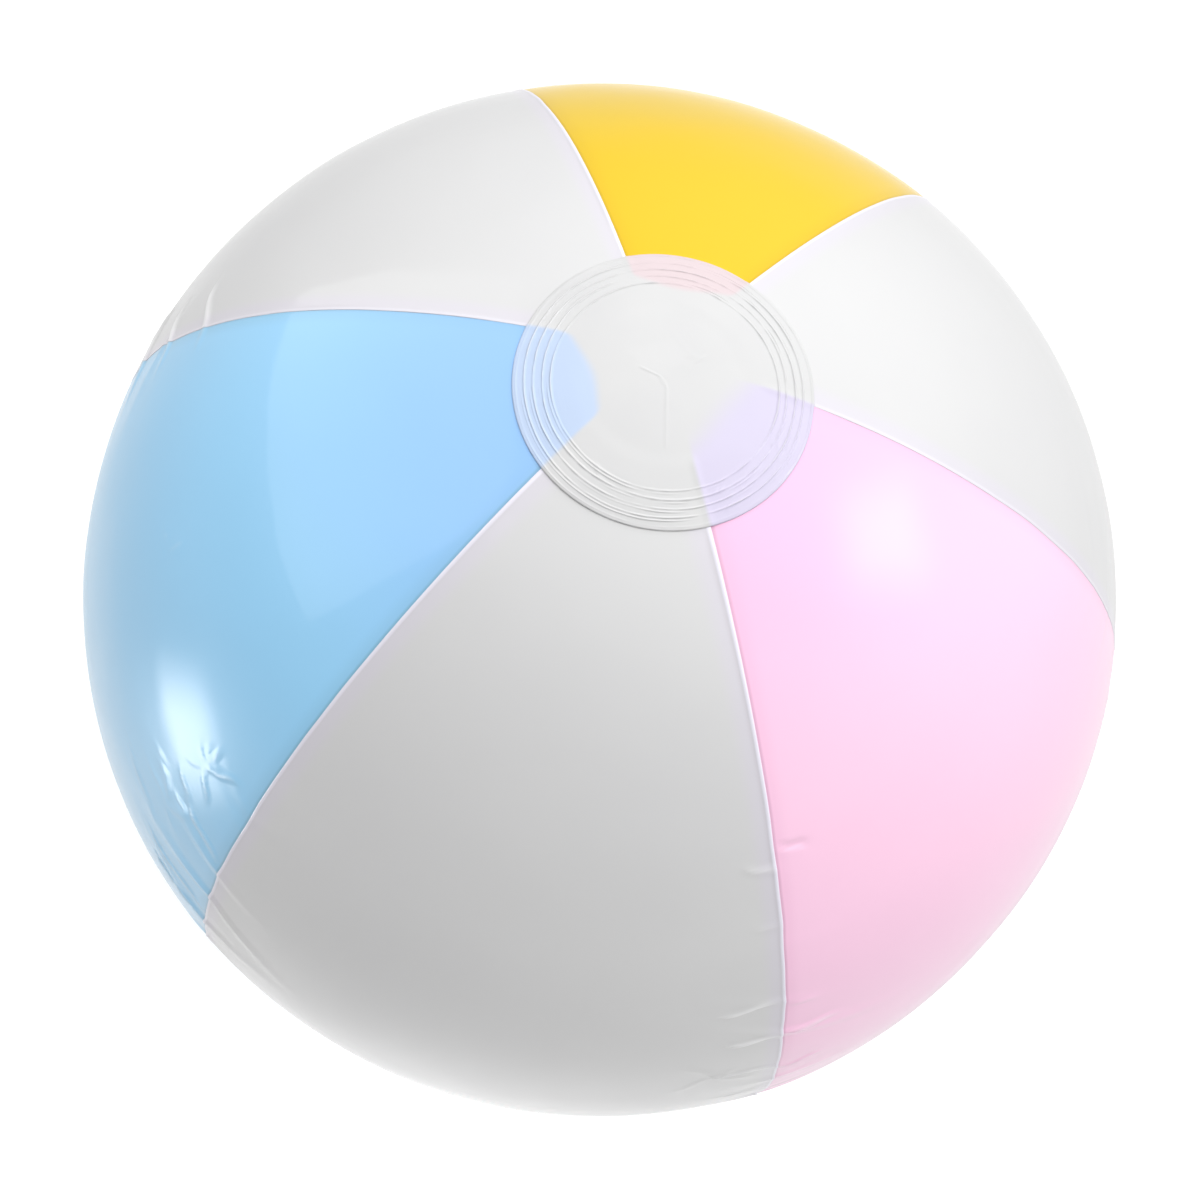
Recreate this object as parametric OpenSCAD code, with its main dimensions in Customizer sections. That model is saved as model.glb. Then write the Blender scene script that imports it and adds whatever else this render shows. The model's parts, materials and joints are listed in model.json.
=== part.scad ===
// Inflatable beach ball: six film gores lap-welded from pole to pole, a ribbed end cap welded over
// the gore tips at each pole, and a push-in air valve with a tethered stopper and a check flap.
// Millimetres. The origin is the centre of the inflated ball and +Z is the axis through its poles.

/* [Ball] */
// Outside radius of the inflated ball
ball_r = 162; // [120:1:205]
// Thickness of the film
film_t = 0.25; // [0.2:0.05:0.4]
// Width of a coloured gore's margin welded under the white gore's edge
lap_w = 4.5; // [2:0.5:8]
// Radius of the open circle that the gore tips leave at each pole
tip_hole_r = 16.7; // [10:0.1:19]

/* [End caps] */
// Radius of an end cap's rim
cap_r = 30; // [30:0.5:36]
// Radius of the innermost weld rib
weld_r = 22.3; // [20:0.1:22.6]
// Distance from one weld rib to the next
rib_pitch = 1.75; // [1.2:0.05:1.75]
// Number of weld ribs on an end cap
rib_count = 5; // [2:1:5]
// Radius of a weld rib's round section
rib_r = 0.3; // [0.25:0.05:0.35]
// Angle by which the top cap is welded away from the gores' pole
cap_off = 1.9; // [0:0.1:2.5]
// Direction in which the top cap is welded off the pole
cap_off_az = -65; // [-180:5:180]

/* [Valve] */
// Azimuth of the valve, on the centre line of the left white gore
valve_az = 150; // [145:1:155]
// Latitude of the valve
valve_lat = -35; // [-50:1:50]
// Radius of the valve's welded flange
flange_r = 15; // [14:0.5:18]
// Thickness of the flange
flange_t = 0.8; // [0.6:0.1:1.2]
// Radius of the hole in the flange
flange_hole_r = 10; // [10:0.1:10.5]
// Radius of the hole cut in the gore for the valve
gore_hole_r = 11; // [10.8:0.1:12]
// Outside radius of the stem
stem_r = 5; // [5:0.1:5.2]
// Length of the stem
stem_len = 14; // [13:0.5:18]
// Radius of the stem's bore, which a pump nozzle enters
bore_r = 2.7; // [2.2:0.1:2.7]
// Radius of the stopper's socket at the mouth of the stem
socket_r = 3; // [3:0.1:3.3]
// Depth of the stopper's socket
socket_len = 3.6; // [3.4:0.1:4]

/* [Stopper and flap] */
// Radius of the stopper's head
head_r = 5.6; // [5.2:0.1:5.8]
// Thickness of the stopper's head
head_t = 1.2; // [0.8:0.1:1.4]
// Length of the stopper's plug
plug_len = 3; // [2:0.1:3]
// Distance of the strap's hinge line from the valve's axis
strap_hinge_x = 8; // [8:0.1:8.2]
// Width of the strap
strap_w = 4; // [3:0.5:4]
// Thickness of the strap
strap_t = 0.6; // [0.5:0.1:0.6]
// Radius of the check flap
flap_r = 4.2; // [3.6:0.1:4.4]
// Thickness of the check flap
flap_t = 0.6; // [0.4:0.1:0.8]

/* [Hidden] */
$fn = 128;
// Facets round the end caps' film, round a weld rib's section and round the membrane's curve
cap_fn = 256;
rib_fn = 24;
curve_fn = 64;
// How far a cut runs past the solid that it cuts
over = 1;

// Azimuths of the gores' centre lines, and half the angle that each gore covers
gore_half = 30;
yellow_az = 90;
white_left_az = 150;
blue_az = 210;
white_front_az = 270;
pink_az = 330;
white_right_az = 30;

// Radii of the film's layers: the gores, and a coloured margin under a white edge
gore_in_r = ball_r - film_t;
margin_in_r = ball_r - 2 * film_t;
// Width over which a coloured gore steps down to its margin
step_w = 1.5;
// Longer than any radius of the ball
reach = 2 * ball_r;
// Height of a weld rib's centre over the gores
rib_rise = film_t + 0.1;

// Heights along the valve's axis, from the ball's surface outwards
mouth_z = -1.6;
socket_z = mouth_z - socket_len;
stem_end_z = mouth_z - stem_len;
mouth_chamfer = 0.5;
hinge_z = mouth_z + head_t / 2;
// Clearance between the stem and the membrane, and between a leaf and its hinge line
stem_gap = 0.15;
leaf_gap = 0.25;
// The membrane's outer wall ends just below the flange's upper edge
wall_drop = 0.1;
wall_top_z = sqrt(gore_in_r * gore_in_r - flange_hole_r * flange_hole_r) - ball_r - wall_drop;
// The membrane's thickness, and the quarter ring that curves from its wall in to the stem
membrane_t = 0.5;
curve_r = flange_hole_r - stem_r - stem_gap;
curve_top_z = -4.2;
// The gap under the stopper's head, and its plug, tapered so that it swings clear of its socket
head_gap = 0.1;
plug_gap = 0.15;
plug_taper = 0.55;
plug_sink = 0.1;
plug_base_r = socket_r - plug_gap;
plug_tip_r = plug_base_r - plug_taper;
// The strap's root on the stem
root_t = 0.6;
root_foot_t = 1;
root_sink = 1.25;
root_h = 1.6;
root_drop = 0.5;
root_bottom_z = hinge_z - root_drop - root_h;
// The check flap under the stem's inner end
flap_gap = 0.3;
flap_hinge_x = 5.3;
flap_tab_w = 3;
flap_top_z = stem_end_z - flap_gap;
lug_len = 3;
lug_t = 1.4;
lug_sink = 0.6;

// Film from one radius to another, with its parametric seam turned to -X
module film_shell(outer, inner) {
    rotate([0, 0, 180])
        difference() {
            sphere(outer);
            sphere(inner);
        }
}

// The upright wedge of space that one gore covers, about +X, widened sideways by grow
module gore_wedge(grow) {
    apex = -grow / sin(gore_half);
    far_x = reach * cos(gore_half);
    far_y = reach * sin(gore_half);
    translate([apex, 0, -reach])
        linear_extrude(2 * reach)
            polygon([[0, 0], [far_x, -far_y], [far_x, far_y]]);
}

// Turns its children from the pole to the place where the top cap is welded
module at_top_cap() {
    rotate([0, 0, cap_off_az])
        rotate([0, cap_off, 0])
            rotate([0, 0, -cap_off_az])
                children();
}

// The two open circles that all gore tips stop at
module tip_holes() {
    at_top_cap()
        cylinder(r = tip_hole_r, h = reach);
    translate([0, 0, -reach])
        cylinder(r = tip_hole_r, h = reach);
}

// A white gore: a plain sector whose edges lie on top at both seams
module white_gore(az) {
    intersection() {
        difference() {
            rotate([0, 0, az])
                film_shell(ball_r, gore_in_r);
            tip_holes();
        }
        rotate([0, 0, az])
            gore_wedge(0);
    }
}

// A coloured gore: full at the seams, and one film lower where its margins run under the white edges
module coloured_gore(az) {
    difference() {
        intersection() {
            difference() {
                rotate([0, 0, az])
                    film_shell(ball_r, margin_in_r);
                tip_holes();
            }
            rotate([0, 0, az])
                gore_wedge(lap_w);
        }
        rotate([0, 0, az])
            difference() {
                film_shell(ball_r + over, gore_in_r);
                gore_wedge(0);
            }
        rotate([0, 0, az])
            intersection() {
                sphere(gore_in_r);
                gore_wedge(-step_w);
            }
    }
}

module gore_yellow() {
    color("gold")
        coloured_gore(yellow_az);
}

module gore_blue() {
    color("lightskyblue")
        coloured_gore(blue_az);
}

module gore_pink() {
    color("pink")
        coloured_gore(pink_az);
}

module gore_white_front() {
    color("white")
        white_gore(white_front_az);
}

module gore_white_right() {
    color("white")
        white_gore(white_right_az);
}

// The left white gore has the valve's hole
module gore_white_left() {
    color("white")
        difference() {
            white_gore(white_left_az);
            at_valve()
                cylinder(r = gore_hole_r, h = 2 * gore_hole_r, center = true);
        }
}

// A disc of film over the gore tips, with concentric weld ribs near its rim
module end_cap() {
    intersection() {
        rotate([0, 90, 0])
            difference() {
                sphere(ball_r + film_t, $fn = cap_fn);
                sphere(ball_r, $fn = cap_fn);
            }
        cylinder(r = cap_r, h = reach);
    }
    for (i = [0 : rib_count - 1])
        weld_rib(weld_r + i * rib_pitch);
}

// A raised ring around the pole, half sunk in the end cap's film
module weld_rib(radius) {
    lean = asin(radius / ball_r);
    rotate_extrude()
        translate((ball_r + rib_rise) * [sin(lean), cos(lean)])
            circle(rib_r, $fn = rib_fn);
}

module end_cap_top() {
    color("whitesmoke")
        at_top_cap()
            end_cap();
}

module end_cap_bottom() {
    color("whitesmoke")
        mirror([0, 0, 1])
            end_cap();
}

// Moves its children to the valve: +Z points out of the ball, from its surface
module at_valve() {
    rotate([0, 0, valve_az])
        rotate([0, 90 - valve_lat, 0])
            translate([0, 0, ball_r])
                children();
}

// A ring that follows the inside of the film, welded around the hole in the gore
module valve_flange() {
    color("snow")
        at_valve()
            intersection() {
                translate([0, 0, -ball_r])
                    rotate([0, 90, 0])
                        difference() {
                            sphere(gore_in_r);
                            sphere(gore_in_r - flange_t);
                        }
                translate([0, 0, -flange_r])
                    difference() {
                        cylinder(r = flange_r, h = 2 * flange_r);
                        translate([0, 0, -over])
                            cylinder(r = flange_hole_r, h = 2 * (flange_r + over));
                    }
            }
}

// The soft membrane that lets the stem pop in and out: a wall inside the flange, curving in to the stem
module valve_membrane() {
    color("snow")
        at_valve()
            rotate_extrude() {
                translate([stem_r + stem_gap, curve_top_z])
                    intersection() {
                        difference() {
                            circle(curve_r, $fn = curve_fn);
                            circle(curve_r - membrane_t, $fn = curve_fn);
                        }
                        translate([0, -curve_r - over])
                            square(curve_r + over);
                    }
                translate([flange_hole_r - membrane_t, curve_top_z])
                    square([membrane_t, wall_top_z - curve_top_z]);
            }
}

// The stem's tube, with the strap's root at its mouth and the flap's lug at its inner end
module valve_stem() {
    color("white")
        at_valve()
            difference() {
                union() {
                    translate([0, 0, stem_end_z])
                        cylinder(r = stem_r, h = stem_len);
                    strap_root();
                    flap_lug();
                }
                translate([0, 0, stem_end_z - over])
                    cylinder(r = bore_r, h = stem_len + 2 * over);
                translate([0, 0, socket_z])
                    cylinder(r = socket_r, h = socket_len + over);
                translate([0, 0, mouth_z - mouth_chamfer])
                    cylinder(r1 = socket_r, r2 = socket_r + 2 * mouth_chamfer, h = 2 * mouth_chamfer);
            }
}

// A small bracket that carries the strap's hinge line
module strap_root() {
    root_x = -strap_hinge_x - leaf_gap;
    translate([root_x, -strap_w / 2, root_bottom_z]) {
        cube([strap_hinge_x + leaf_gap - stem_r + root_sink, strap_w, root_foot_t]);
        cube([root_t, strap_w, root_h]);
    }
}

// A lug beside the stem's inner end, which carries the flap's hinge line
module flap_lug() {
    translate([stem_r - lug_sink, -flap_tab_w / 2, stem_end_z])
        cube([lug_t, flap_tab_w, lug_len]);
}

// The stopper's head and its tapered plug
module stopper() {
    color("white")
        at_valve() {
            translate([0, 0, mouth_z + head_gap])
                cylinder(r = head_r, h = head_t - head_gap);
            translate([0, 0, mouth_z - plug_len])
                cylinder(r1 = plug_tip_r, r2 = plug_base_r, h = plug_len + head_gap + plug_sink);
        }
}

// The strap from the stopper's head to the hinge line
module stopper_strap() {
    strap_start_x = -strap_hinge_x + leaf_gap;
    color("white")
        at_valve()
            difference() {
                translate([strap_start_x, -strap_w / 2, hinge_z - strap_t / 2])
                    cube([strap_hinge_x - leaf_gap - head_r / 2, strap_w, strap_t]);
                translate([0, 0, mouth_z])
                    cylinder(r = head_r, h = 2 * head_t);
            }
}

// A disc that air pressure closes against the stem's inner end, with its hinge tab
module check_flap() {
    color("white")
        at_valve()
            translate([0, 0, flap_top_z - flap_t]) {
                cylinder(r = flap_r, h = flap_t);
                translate([0, -flap_tab_w / 2, 0])
                    cube([flap_hinge_x, flap_tab_w, flap_t]);
            }
}

gore_yellow();
gore_white_left();
gore_blue();
gore_white_front();
gore_pink();
gore_white_right();
end_cap_top();
end_cap_bottom();
valve_flange();
valve_membrane();
valve_stem();
stopper();
stopper_strap();
check_flap();
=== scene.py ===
"""Looks of the inflatable beach ball: glossy film gores with puckered lap seams, ribbed milky end caps
and a push-in air valve. Metres, in the CAD model's own frame: the origin is the ball's centre."""
import json
import math

import bpy
import numpy as np
from mathutils import Matrix, Vector


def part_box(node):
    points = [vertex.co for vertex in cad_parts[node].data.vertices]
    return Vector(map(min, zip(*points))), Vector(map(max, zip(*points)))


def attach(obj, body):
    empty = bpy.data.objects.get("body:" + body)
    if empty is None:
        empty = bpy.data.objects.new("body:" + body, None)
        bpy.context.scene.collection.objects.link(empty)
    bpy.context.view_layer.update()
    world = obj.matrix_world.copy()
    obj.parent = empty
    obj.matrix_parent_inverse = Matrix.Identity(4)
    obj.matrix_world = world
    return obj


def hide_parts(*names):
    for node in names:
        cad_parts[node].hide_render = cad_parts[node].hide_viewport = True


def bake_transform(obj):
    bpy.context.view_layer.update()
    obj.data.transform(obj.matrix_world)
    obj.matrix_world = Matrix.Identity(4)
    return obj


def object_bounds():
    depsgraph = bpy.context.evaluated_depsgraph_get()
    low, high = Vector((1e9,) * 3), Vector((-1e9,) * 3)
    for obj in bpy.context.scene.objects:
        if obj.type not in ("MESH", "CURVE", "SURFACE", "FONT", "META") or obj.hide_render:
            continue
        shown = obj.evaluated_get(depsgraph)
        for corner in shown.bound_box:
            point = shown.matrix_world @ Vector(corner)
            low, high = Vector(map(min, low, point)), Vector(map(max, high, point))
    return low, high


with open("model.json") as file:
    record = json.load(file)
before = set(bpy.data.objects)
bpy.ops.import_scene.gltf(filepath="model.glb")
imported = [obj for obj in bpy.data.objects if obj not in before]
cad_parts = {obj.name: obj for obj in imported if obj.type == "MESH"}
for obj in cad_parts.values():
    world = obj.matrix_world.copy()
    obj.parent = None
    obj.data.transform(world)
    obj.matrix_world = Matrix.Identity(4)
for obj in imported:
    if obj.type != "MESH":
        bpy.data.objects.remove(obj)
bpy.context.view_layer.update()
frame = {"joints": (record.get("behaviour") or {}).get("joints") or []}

MM = 0.001
BALL_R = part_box("gore_yellow")[1][1]  # the yellow gore's centre line lies on +Y
CAP_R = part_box("end_cap_bottom")[1][0]
FILM_T = 0.25 * MM
LAP_W = 4.5 * MM  # width of a coloured margin under a white edge
TIP_HOLE_R = 16.7 * MM
WELD_R = 22.3 * MM  # the innermost weld rib of an end cap
RIB_PITCH = 1.75 * MM
CAP_OFF = math.radians(1.9)  # the top cap is welded a little off the gores' pole
CAP_OFF_AZ = math.radians(-65)

GORE_HALF = math.radians(30)
SEAM_AZ = [math.radians(60 * i) for i in range(6)]
WHITE, COLOURED = "white", "coloured"
GORES = [
    ("gore_white_right", 30, WHITE, "white_film"),
    ("gore_yellow", 90, COLOURED, "yellow_film"),
    ("gore_white_left", 150, WHITE, "white_film"),
    ("gore_blue", 210, COLOURED, "blue_film"),
    ("gore_white_front", 270, WHITE, "white_film"),
    ("gore_pink", 330, COLOURED, "pink_film"),
]


# ---------------------------------------------------------------- small helpers

def smooth(low, high, x):
    """0 below low, 1 above high, and an even ease between them."""
    t = np.clip((x - low) / (high - low), 0, 1)
    return t * t * (3 - 2 * t)


def on_sphere(az, lat, radius):
    """Points at these azimuths, latitudes and radii, one row each."""
    return np.stack([
        radius * np.cos(lat) * np.cos(az),
        radius * np.cos(lat) * np.sin(az),
        radius * np.sin(lat),
    ], axis=-1)


def noise(points, size, seed):
    """Smooth noise between about -1 and 1, with features about size metres across."""
    at = points / size + 17.3 * seed
    base = np.floor(at).astype(np.int64)
    part = at - base
    ease = part ** 3 * (part * (part * 6 - 15) + 10)
    total = np.zeros(points.shape[:-1])
    for corner in np.ndindex(2, 2, 2):
        cell = base + np.array(corner)
        code = cell[..., 0] * 73856093 ^ cell[..., 1] * 19349663 ^ cell[..., 2] * 83492791
        code = (code ^ (code >> 13)) * 1274126177 & 0xFFFFFFFF
        slope = np.stack([code & 255, code >> 8 & 255, code >> 16 & 255], axis=-1) / 127.5 - 1
        weight = np.prod(np.where(np.array(corner) == 1, ease, 1 - ease), axis=-1)
        total += weight * np.sum(slope * (part - np.array(corner)), axis=-1)
    return total * 1.6


def grid_faces(rows, columns, wrap=False):
    """Quads of a grid of rows x columns points, whose columns close on themselves if wrap."""
    r, c = np.meshgrid(np.arange(rows - 1), np.arange(columns if wrap else columns - 1), indexing="ij")
    n = (c + 1) % columns
    here, ahead = r * columns, (r + 1) * columns
    return np.stack([here + c, here + n, ahead + n, ahead + c], axis=-1).reshape(-1, 4)


def make_piece(name, points, faces, material, attributes=None):
    """A smooth-shaded mesh object from arrays, with a float attribute per point for each one given."""
    mesh = bpy.data.meshes.new(name)
    mesh.from_pydata(points.reshape(-1, 3).tolist(), [], [list(f) for f in faces])
    mesh.update()
    for key, values in (attributes or {}).items():
        layer = mesh.attributes.new(key, "FLOAT", "POINT")
        layer.data.foreach_set("value", np.asarray(values, dtype=np.float32).ravel())
    mesh.shade_smooth()
    mesh.materials.append(material)
    piece = bpy.data.objects.new(name, mesh)
    bpy.context.scene.collection.objects.link(piece)
    return piece


def thicken(piece, thickness):
    """Gives a sheet its thickness, inwards from the modelled face."""
    solid = piece.modifiers.new("thickness", "SOLIDIFY")
    solid.thickness = thickness
    solid.offset = -1
    return piece


# ---------------------------------------------------------------- materials

def new_material(name):
    """An empty node material, with its output and a Principled shader joined."""
    material = bpy.data.materials.new(name)
    material.use_nodes = True
    tree = material.node_tree
    tree.nodes.clear()
    output = tree.nodes.new("ShaderNodeOutputMaterial")
    shader = tree.nodes.new("ShaderNodeBsdfPrincipled")
    tree.links.new(shader.outputs["BSDF"], output.inputs["Surface"])
    return material, tree, shader


def ramp_attribute(tree, attribute, low, high, out_low=0.0, out_high=1.0, ease="SMOOTHSTEP"):
    """An output that eases from out_low to out_high as a mesh attribute goes from low to high."""
    source = tree.nodes.new("ShaderNodeAttribute")
    source.attribute_name = attribute
    ramp = tree.nodes.new("ShaderNodeMapRange")
    ramp.interpolation_type = ease
    ramp.inputs["From Min"].default_value = low
    ramp.inputs["From Max"].default_value = high
    ramp.inputs["To Min"].default_value = out_low
    ramp.inputs["To Max"].default_value = out_high
    tree.links.new(source.outputs["Fac"], ramp.inputs["Value"])
    return ramp.outputs["Result"]


def times_attribute(tree, value, attribute):
    """A varying value times a mesh attribute."""
    source = tree.nodes.new("ShaderNodeAttribute")
    source.attribute_name = attribute
    product = tree.nodes.new("ShaderNodeMath")
    product.operation = "MULTIPLY"
    tree.links.new(value, product.inputs[0])
    tree.links.new(source.outputs["Fac"], product.inputs[1])
    return product.outputs["Value"]


def mix_colour(tree, factor, first, second):
    """Mixes two colours, each an output or three numbers."""
    mix = tree.nodes.new("ShaderNodeMix")
    mix.data_type = "RGBA"
    for value, socket in ((factor, mix.inputs[0]), (first, mix.inputs[6]), (second, mix.inputs[7])):
        if isinstance(value, bpy.types.NodeSocket):
            tree.links.new(value, socket)
        elif isinstance(value, (int, float)):
            socket.default_value = value
        else:
            socket.default_value = (*value, 1)
    return mix.outputs[2]


def film_noise(tree, size, detail, low, high, out_low, out_high):
    """Noise over the object's own coordinates, with features about size metres across."""
    place = tree.nodes.new("ShaderNodeTexCoord")
    texture = tree.nodes.new("ShaderNodeTexNoise")
    texture.inputs["Scale"].default_value = 1 / size
    texture.inputs["Detail"].default_value = detail
    tree.links.new(place.outputs["Object"], texture.inputs["Vector"])
    ramp = tree.nodes.new("ShaderNodeMapRange")
    ramp.inputs["From Min"].default_value = low
    ramp.inputs["From Max"].default_value = high
    ramp.inputs["To Min"].default_value = out_low
    ramp.inputs["To Max"].default_value = out_high
    tree.links.new(texture.outputs["Fac"], ramp.inputs["Value"])
    return ramp.outputs["Result"]


def bump_chain(tree, shader, layers):
    """Adds bumps, each (size in metres, height in metres, detail), one on top of the other."""
    normal = None
    for size, height, detail in layers:
        bump = tree.nodes.new("ShaderNodeBump")
        bump.inputs["Distance"].default_value = height
        tree.links.new(film_noise(tree, size, detail, 0, 1, 0, 1), bump.inputs["Height"])
        if normal:
            tree.links.new(normal, bump.inputs["Normal"])
        normal = bump.outputs["Normal"]
    tree.links.new(normal, shader.inputs["Normal"])
    tree.links.new(normal, shader.inputs["Coat Normal"])


def glossy_film(shader, roughness_socket, tree):
    """The vinyl film's gloss: a slightly soft base under a sharp, polished skin."""
    tree.links.new(roughness_socket, shader.inputs["Roughness"])
    shader.inputs["IOR"].default_value = 1.5
    shader.inputs["Coat Weight"].default_value = 0.5
    shader.inputs["Coat Roughness"].default_value = 0.045
    shader.inputs["Coat IOR"].default_value = 1.45


def coloured_film(name, colour, deep, edge, tip, gloss_tint, gloss):
    """Tinted vinyl: deep where the dye looks thicker, tip towards the poles. Beside the seam, edge is painted
    shade of the film's dip there, partly the seam seen through the film, with a painted shadow line at the
    seam; crease crests get a painted highlight.
    """
    material, tree, shader = new_material(name)
    shader.inputs["Specular Tint"].default_value = (*gloss_tint, 1)
    shader.inputs["Specular IOR Level"].default_value = gloss
    cloud = film_noise(tree, 0.09, 3, 0.3, 0.7, 0, 0.35)
    body = mix_colour(tree, cloud, colour, deep)
    body = mix_colour(tree, ramp_attribute(tree, "pole_deg", 56, 80), body, tip)
    # A darker, greyer tone beside the seam: painted shade where the film dips into the seam, partly the seam
    # seen through the film
    dip = ramp_attribute(tree, "seam_mm", 0.0, 4.0, 0.3, 0.0)
    seam_shaded = mix_colour(tree, dip, body, edge)
    # A thin painted shadow line right at the seam, in a darker copy of that tone
    line = times_attribute(tree, ramp_attribute(tree, "seam_mm", 0.15, 0.85, 0.65, 0.0), "seam_show")
    shade = [0.75 * c for c in edge]
    body = mix_colour(tree, line, seam_shaded, shade)
    # Paler crease crests: a painted highlight
    pale = [0.45 * c + 0.5 for c in colour]
    body = mix_colour(tree, ramp_attribute(tree, "crest", 0.1, 1.0, 0.0, 0.5), body, pale)
    tree.links.new(body, shader.inputs["Base Color"])
    glossy_film(shader, film_noise(tree, 0.03, 4, 0.3, 0.7, 0.29, 0.36), tree)
    bump_chain(tree, shader, FILM_BUMPS)
    return material


def white_film(name):
    """White vinyl, with a lavender band where a coloured margin shows through beside each seam, a painted
    highlight along each edge's bead and on crease crests.
    """
    material, tree, shader = new_material(name)
    cloud = film_noise(tree, 0.09, 3, 0.3, 0.7, 0, 1)
    body = mix_colour(tree, cloud, (0.595, 0.595, 0.60), (0.62, 0.62, 0.62))
    margin = ramp_attribute(tree, "seam_mm", 0.4 * LAP_W / MM, 1.25 * LAP_W / MM, 0.6, 0.0)
    banded = mix_colour(tree, margin, body, (0.62, 0.59, 0.665))
    # The bead along each white edge is painted paler: a painted highlight along its rounded top, with a faint
    # lavender tint of the vinyl
    bead = times_attribute(tree, ramp_attribute(tree, "seam_mm", 0.5, 1.0, 1.0, 0.0), "seam_show")
    body = mix_colour(tree, bead, banded, (0.80, 0.78, 0.87))
    # A painted highlight on the crease crests
    crest = ramp_attribute(tree, "crest", 0.1, 1.0, 0.0, 0.7)
    tree.links.new(mix_colour(tree, crest, body, (0.88, 0.88, 0.89)), shader.inputs["Base Color"])
    glossy_film(shader, film_noise(tree, 0.03, 4, 0.3, 0.7, 0.29, 0.36), tree)
    bump_chain(tree, shader, FILM_BUMPS)
    return material


# The cap's colour where each coloured tip lies under it
TIP_TINTS = {
    "tip_yellow": (0.62, 0.515, 0.535),
    "tip_blue": (0.44, 0.545, 0.73),
    "tip_pink": (0.57, 0.53, 0.68),
}


def cap_film(name):
    """Milky clear vinyl. Its tint shows the gore tips that lie against it from below; its weld ribs carry a
    painted highlight.
    """
    material, tree, shader = new_material(name)
    cloud = film_noise(tree, 0.02, 3, 0.3, 0.7, 0, 1)
    body = mix_colour(tree, cloud, (0.565, 0.565, 0.57), (0.585, 0.585, 0.585))
    for attribute, tint in TIP_TINTS.items():
        body = mix_colour(tree, ramp_attribute(tree, attribute, 0.0, 1.0), body, tint)
    # The weld ribs are painted paler: a painted highlight
    body = mix_colour(tree, ramp_attribute(tree, "rib", 0.3, 1.0, 0.0, 0.5), body, (0.67, 0.67, 0.68))
    tree.links.new(body, shader.inputs["Base Color"])
    glossy_film(shader, film_noise(tree, 0.01, 4, 0.3, 0.7, 0.29, 0.35), tree)
    bump_chain(tree, shader, ((0.012, 0.12 * MM, 2), (0.0012, 0.006 * MM, 2)))
    return material


def valve_vinyl(name):
    """Moulded soft vinyl: satin, slightly translucent, with a fine moulded texture."""
    material, tree, shader = new_material(name)
    cloud = film_noise(tree, 0.006, 3, 0.3, 0.7, 0, 1)
    body = mix_colour(tree, cloud, (0.80, 0.80, 0.79), (0.86, 0.86, 0.85))
    tree.links.new(body, shader.inputs["Base Color"])
    tree.links.new(film_noise(tree, 0.002, 4, 0.3, 0.7, 0.32, 0.42), shader.inputs["Roughness"])
    shader.inputs["IOR"].default_value = 1.5
    shader.inputs["Subsurface Weight"].default_value = 0.25
    shader.inputs["Subsurface Radius"].default_value = (0.002, 0.002, 0.002)
    bump_chain(tree, shader, ((0.0035, 0.03 * MM, 2), (0.0005, 0.004 * MM, 2)))
    return material


FILM_BUMPS = ((0.045, 0.35 * MM, 2), (0.008, 0.018 * MM, 2), (0.0015, 0.0015 * MM, 2))
MATERIALS = {
    "yellow_film": coloured_film(
        "yellow_film", (0.72, 0.485, 0.0015), (0.70, 0.465, 0.0015), (0.60, 0.38, 0.004),
        (0.72, 0.475, 0.0015), (1.0, 0.8, 0.2), 0.35
    ),
    "blue_film": coloured_film(
        "blue_film", (0.315, 0.62, 0.88), (0.295, 0.595, 0.85), (0.23, 0.45, 0.60), (0.26, 0.49, 0.83),
        (0.9, 0.95, 1.0), 0.5
    ),
    "pink_film": coloured_film(
        "pink_film", (0.94, 0.595, 0.775), (0.92, 0.57, 0.755), (0.80, 0.45, 0.63), (0.90, 0.495, 0.72),
        (1.0, 0.95, 1.0), 0.5
    ),
    "white_film": white_film("white_film"),
    "clear_cap_film": cap_film("clear_cap_film"),
    "valve_vinyl": valve_vinyl("valve_vinyl"),
}


# ---------------------------------------------------------------- the film's relief

# Long soft waves of the whole film: size, height and random seed
WAVES = ((0.050, 0.22 * MM, 1), (0.021, 0.08 * MM, 2))
PUCKER_COUNT = 26  # on each seam
STAR_COUNT = 4  # on each seam
STAR_HEIGHT = 0.55  # the random stars' height, as a share of what their draw gives
# The stars' crests get a painted highlight; the value below sets how strong it is
STAR_CREST_HIGHLIGHT = 0.12  # how much paler their crests are, where 1 is as much as on the creases below
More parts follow.
